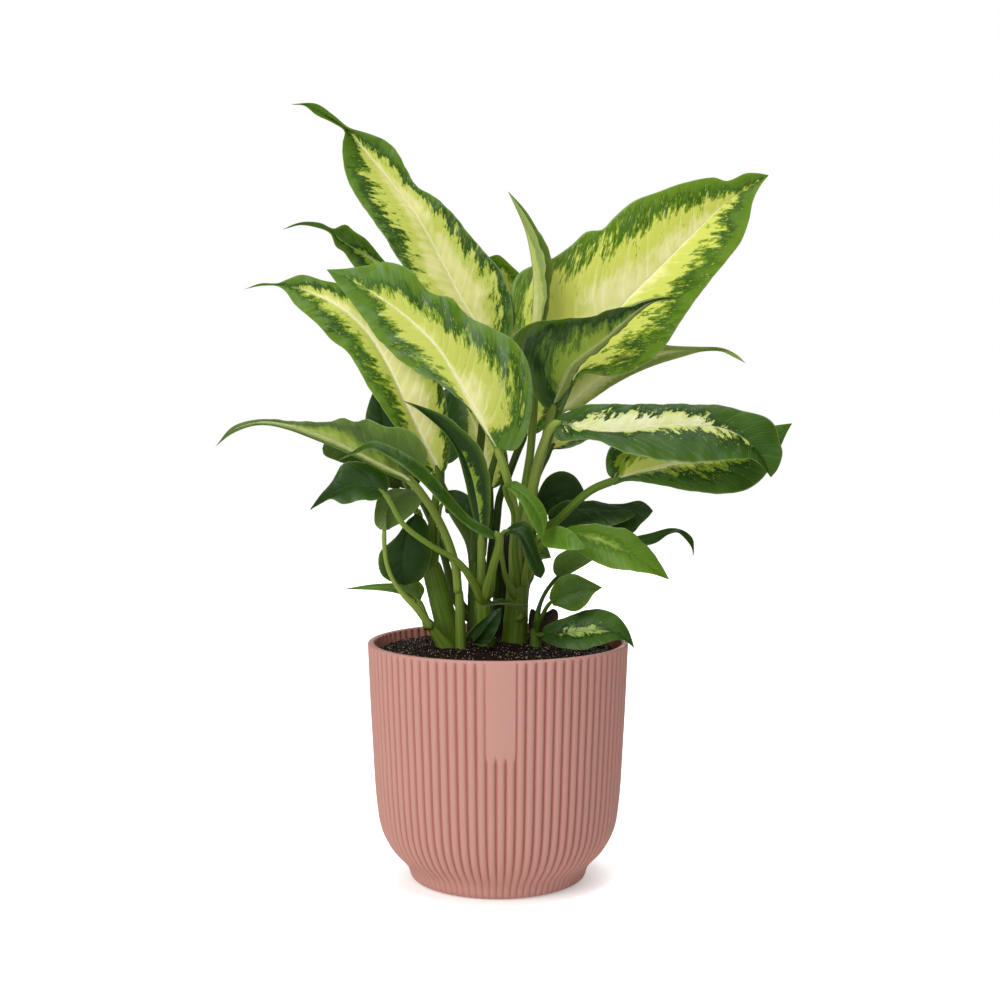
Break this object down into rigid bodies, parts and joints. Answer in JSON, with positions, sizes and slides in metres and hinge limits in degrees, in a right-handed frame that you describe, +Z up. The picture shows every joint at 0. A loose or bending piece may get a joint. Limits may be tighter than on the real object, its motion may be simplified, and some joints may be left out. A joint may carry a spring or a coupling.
{
  "type": "potted dieffenbachia",
  "caption": "Bushy variegated dieffenbachia with broad pointed leaves on sheathed stalks, standing in soil in a round fluted pot that stands on its own foot.",
  "frame": {"origin": "centre of the pot's foot, on the surface that the pot stands on", "axes": "+Z up along the pot's axis, -Y towards the viewer of the front, +X to the viewer's right"},
  "size_m": [0.2995, 0.1892, 0.4174],
  "materials": {
    "pot": "satin-matte, dusty pink",
    "soil": "loose dark potting soil",
    "stem": "smooth green stem",
    "leaf_variegated": "satin leaf, cream and green",
    "leaf_green": "satin green leaf",
    "leaf_dark": "satin dark green leaf",
    "dried_sheath": "dry brown sheath"
  },
  "bodies": {
    "root": {"pot": "pot", "soil": "soil", "shoot_left_front": "stem", "shoot_left": "stem", "shoot_left_slim": "stem", "shoot_middle_front": "stem", "shoot_right": "stem", "shoot_right_small": "stem", "shoot_left_back": "stem", "shoot_right_back": "stem", "shoot_back": "stem", "leaf_crown_left": "leaf_variegated", "leaf_back_left_tip": "leaf_dark", "leaf_front_left_large": "leaf_variegated", "leaf_left_long": "leaf_variegated", "leaf_right_large": "leaf_variegated", "leaf_young_upright": "leaf_variegated", "leaf_crown_middle": "leaf_green", "leaf_right_curled": "leaf_dark", "leaf_right_under": "leaf_variegated", "leaf_right_level_upper": "leaf_variegated", "leaf_right_level_lower": "leaf_green", "leaf_left_level": "leaf_variegated", "leaf_left_arching": "leaf_green", "leaf_left_dark": "leaf_dark", "leaf_left_tucked": "leaf_dark", "leaf_left_folded": "leaf_green", "leaf_left_hanging": "leaf_dark", "leaf_left_low_slender": "leaf_green", "leaf_left_behind": "leaf_dark", "leaf_middle_dark": "leaf_dark", "leaf_middle_tucked": "leaf_dark", "leaf_right_round": "leaf_dark", "leaf_right_dark": "leaf_dark", "leaf_right_dark_back": "leaf_dark", "leaf_right_bright": "leaf_green", "leaf_right_short": "leaf_green", "leaf_right_ribbon": "leaf_dark", "leaf_middle_arching": "leaf_green", "leaf_middle_drooping": "leaf_dark", "leaf_right_ribbed": "leaf_green", "leaf_right_small": "leaf_green", "leaf_right_rim": "leaf_green", "leaf_dried_sheath": "dried_sheath", "leaf_middle_low": "leaf_dark", "leaf_middle_sliver": "leaf_dark", "leaf_back_high": "leaf_variegated", "leaf_back_left": "leaf_variegated", "leaf_back_right": "leaf_variegated", "leaf_back_low_left": "leaf_green", "leaf_back_low_right": "leaf_green", "leaf_back_middle": "leaf_green"}
  },
  "joints": []
}
